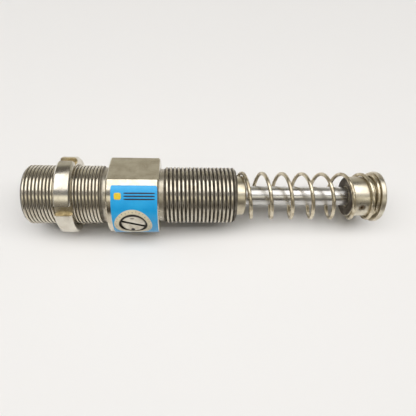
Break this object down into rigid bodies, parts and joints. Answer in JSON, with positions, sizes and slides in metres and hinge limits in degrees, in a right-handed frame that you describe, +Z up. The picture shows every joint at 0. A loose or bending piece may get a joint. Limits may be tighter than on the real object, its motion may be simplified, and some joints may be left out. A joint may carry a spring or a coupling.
{
  "type": "hydraulic shock absorber",
  "caption": "Adjustable industrial shock absorber: threaded cylinder with wrench flats, slotted lock nut, side damping dial and sprung rod with striker cap.",
  "frame": {"origin": "on the cylinder's axis, halfway between the rear end and the crown of the cap", "axes": "+X along the cylinder's axis, from the rear end towards the striker cap; +Z up as it lies on a table; -Y the side that carries the label and the dial"},
  "size_m": [0.166, 0.035, 0.035],
  "materials": {
    "body": "nickel-plated steel, slightly yellowed, grimy in the thread grooves",
    "label": "printed plastic film, sky blue with a cream scale ring",
    "lock_nut": "bright nickel plating, worn to a golden brown in the slots",
    "dial": "plated, faced flat, dark dirt in the slot",
    "rubber": "moulded nitrile rubber",
    "dark_steel": "black oxide",
    "machined_steel": "oiled machined steel",
    "foam": "closed-cell elastomer foam",
    "gland": "turned and plated steel",
    "bronze": "sintered bronze",
    "seal": "polyurethane",
    "hard_chrome": "ground and hard-chromed, with a few light rubs",
    "ring_plastic": "bronze-filled plastic",
    "cap": "turned and nickel-plated, lightly stained",
    "spring": "nickel-plated spring wire"
  },
  "bodies": {
    "cylinder": {"main_body": "body", "label": "label", "pressure_tube": "machined_steel", "accumulator_foam": "foam", "rear_plug": "machined_steel", "rear_plug_o_ring": "rubber", "fill_seal_ball": "machined_steel", "fill_screw": "dark_steel", "gland": "gland", "gland_o_ring": "rubber", "rod_bush": "bronze", "rod_seal": "seal", "rod_wiper": "rubber", "adjuster_retaining_ring": "dark_steel", "return_spring": "spring"},
    "rod": {"piston_rod": "hard_chrome", "piston": "machined_steel", "piston_ring": "ring_plastic", "piston_nut": "machined_steel", "cap": "cap", "cap_set_screw": "dark_steel"},
    "check_valve": {"check_ring": "machined_steel"},
    "adjuster": {"adjuster_dial": "dial", "adjuster_o_ring": "rubber"},
    "sleeve": {"metering_sleeve": "machined_steel"},
    "nut": {"lock_nut": "lock_nut"}
  },
  "joints": [
    {"name": "rod_stroke", "type": "slide", "parent": "cylinder", "child": "rod", "axis": [1, 0, 0], "range_m": [-0.0497, 0], "stiffness_N_per_m": 400, "springref_m": 0.04, "deforming": ["return_spring"]},
    {"name": "check_ring_lift", "type": "slide", "parent": "rod", "child": "check_valve", "axis": [1, 0, 0], "range_m": [-0.0007, 0]},
    {"name": "dial_turn", "type": "hinge", "parent": "cylinder", "child": "adjuster", "pos_m": [-0.03475, -0.01643, 0.00349], "axis": [0, -0.9781, 0.2079], "range_deg": [-90, 90]},
    {"name": "sleeve_shift", "type": "slide", "parent": "cylinder", "child": "sleeve", "axis": [1, 0, 0], "range_m": [-0.0012, 0.0012]},
    {"name": "nut_travel", "type": "slide", "parent": "cylinder", "child": "nut", "axis": [1, 0, 0], "range_m": [-0.0149, 0.0114]}
  ],
  "couplings": [
    {"joint": "dial_turn", "follows": "sleeve_shift", "rad_per_m": 1309}
  ]
}
